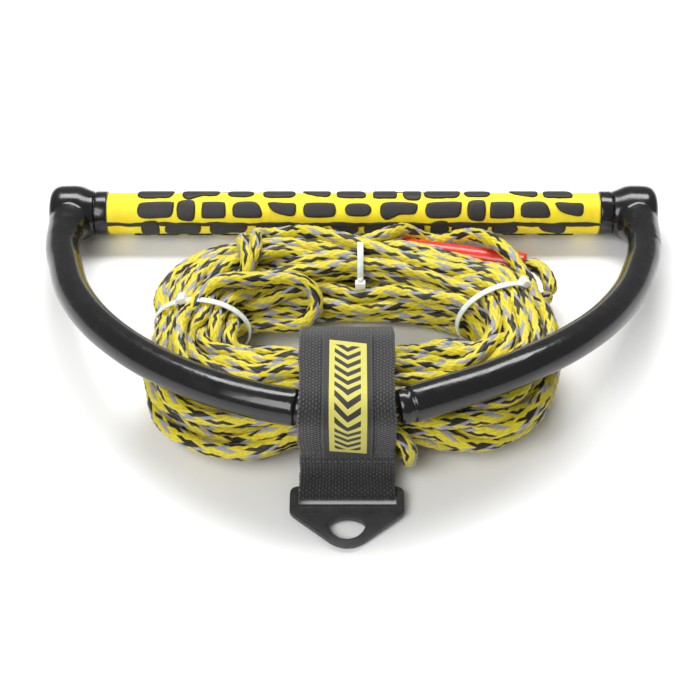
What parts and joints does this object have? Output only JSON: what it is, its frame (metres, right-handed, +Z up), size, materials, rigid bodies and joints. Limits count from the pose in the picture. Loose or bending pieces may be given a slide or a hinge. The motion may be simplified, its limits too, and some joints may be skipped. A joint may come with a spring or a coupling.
{
  "type": "tow rope handle",
  "caption": "Water-sports tow handle: foam-covered bar with two moulded arms, strapped over its coiled braided rope, with a hang tab and a tow loop.",
  "frame": {"origin": "under the middle of the handle, at the level of the strap's underside", "axes": "+X along the bar, +Y towards the bar, +Z up from the surface it rests on"},
  "size_m": [0.376, 0.2679, 0.0719],
  "materials": {
    "aluminium": "satin anodised tube",
    "foam": "closed-cell foam with raised dark pads",
    "black_moulding": "glossy supple moulding",
    "plug": "matte",
    "rope": "braided yellow, black and grey",
    "nylon": "translucent natural nylon",
    "red_tube": "glossy",
    "webbing": "coarse woven webbing",
    "label": "sewn patch with a yellow panel",
    "hook_and_loop": "napped",
    "tab_plastic": "fine matte moulding"
  },
  "bodies": {
    "handle_pack": {"bar_tube": "aluminium", "grip_sleeve": "foam", "left_grip_collar": "black_moulding", "right_grip_collar": "black_moulding", "left_tube_plug": "plug", "right_tube_plug": "plug", "left_bridle_arm": "black_moulding", "right_bridle_arm": "black_moulding", "bridle_rope": "rope", "bridle_knot": "rope", "rope_hank": "rope", "left_cable_tie": "nylon", "centre_cable_tie": "nylon", "right_cable_tie": "nylon", "leader_rope": "rope", "tow_loop_rope": "rope", "wrap_strap": "webbing", "label_patch": "label", "hook_patch": "hook_and_loop", "loop_patch": "hook_and_loop"},
    "hang_tab": {"hang_tab": "tab_plastic"},
    "loop_guard": {"loop_guard": "red_tube"}
  },
  "joints": [
    {"name": "tab_hinge", "type": "hinge", "parent": "handle_pack", "child": "hang_tab", "pos_m": [-0.0038, -0.098, 0.0053], "axis": [-1, 0, 0], "range_deg": [0, 75]},
    {"name": "guard_slide", "type": "slide", "parent": "handle_pack", "child": "loop_guard", "axis": [0.9709, -0.2362, 0.0394], "range_m": [-0.004, 0.004]}
  ]
}
